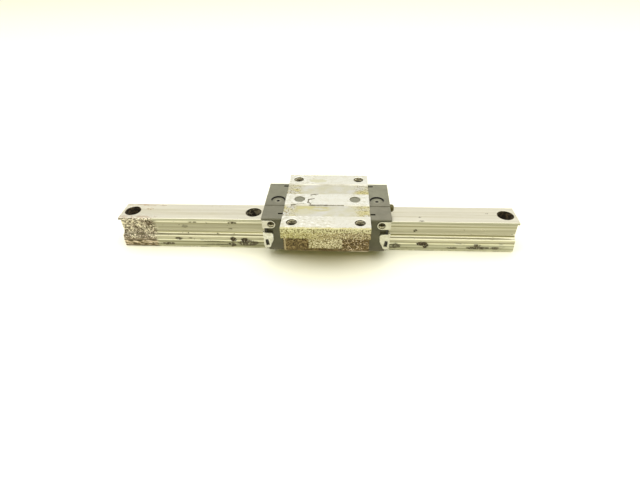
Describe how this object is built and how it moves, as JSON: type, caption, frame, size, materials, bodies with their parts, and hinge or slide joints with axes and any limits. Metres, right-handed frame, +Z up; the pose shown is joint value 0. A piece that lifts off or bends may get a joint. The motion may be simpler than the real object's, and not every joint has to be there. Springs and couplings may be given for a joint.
{
  "type": "linear guide carriage on rail",
  "caption": "Flanged linear guide carriage with recirculating ball rows, end caps and stainless end plates, sliding on a short profile rail.",
  "frame": {"origin": "middle of the rail's underside, half way along the rail", "axes": "+X along the rail towards the end with the grease nipple, +Z up out of the carriage's mounting face, +Y to the back"},
  "size_m": [0.19, 0.047, 0.024],
  "materials": {
    "rail_steel": "ground, worn, rust spots",
    "block_steel": "ground lands, stained sides",
    "hard_steel": "ground",
    "ball_steel": "polished",
    "stainless": "bright sheet",
    "screw_steel": "dull",
    "black_screw": "blackened",
    "brass": "dull",
    "cap_plastic": "moulded, matt",
    "dark_plastic": "moulded",
    "pale_plastic": "moulded",
    "grey_plug": "moulded, matt",
    "seal_rubber": "matt"
  },
  "bodies": {
    "rail_body": {"rail": "rail_steel"},
    "carriage": {"carriage_block": "block_steel", "hole_plug_left": "grey_plug", "hole_plug_right": "grey_plug", "bearing_plate_front_upper": "hard_steel", "bearing_plate_front_lower": "hard_steel", "bearing_plate_back_upper": "hard_steel", "bearing_plate_back_lower": "hard_steel", "balls_front_upper": "ball_steel", "balls_front_lower": "ball_steel", "balls_back_upper": "ball_steel", "balls_back_lower": "ball_steel", "ball_frame_front": "dark_plastic", "ball_frame_back": "dark_plastic", "retainer_strip_front": "dark_plastic", "retainer_strip_back": "dark_plastic", "return_tube_front_upper": "pale_plastic", "return_tube_front_lower": "pale_plastic", "return_tube_back_upper": "pale_plastic", "return_tube_back_lower": "pale_plastic", "return_guide_left_front": "pale_plastic", "return_guide_left_back": "pale_plastic", "return_guide_right_front": "pale_plastic", "return_guide_right_back": "pale_plastic", "end_cap_left": "cap_plastic", "end_cap_right": "cap_plastic", "end_seal_left": "seal_rubber", "end_seal_right": "seal_rubber", "end_plate_left": "stainless", "end_plate_right": "stainless", "end_screws_left": "screw_steel", "end_screws_right": "screw_steel", "side_port_screws_left": "black_screw", "side_port_screws_right": "black_screw", "lube_nipple": "brass", "port_screw_left": "black_screw", "side_seal_front": "seal_rubber", "side_seal_back": "seal_rubber"}
  },
  "joints": [
    {"name": "carriage_slide", "type": "slide", "parent": "rail_body", "child": "carriage", "axis": [1, 0, 0], "range_m": [-0.0718, 0.0575]}
  ]
}
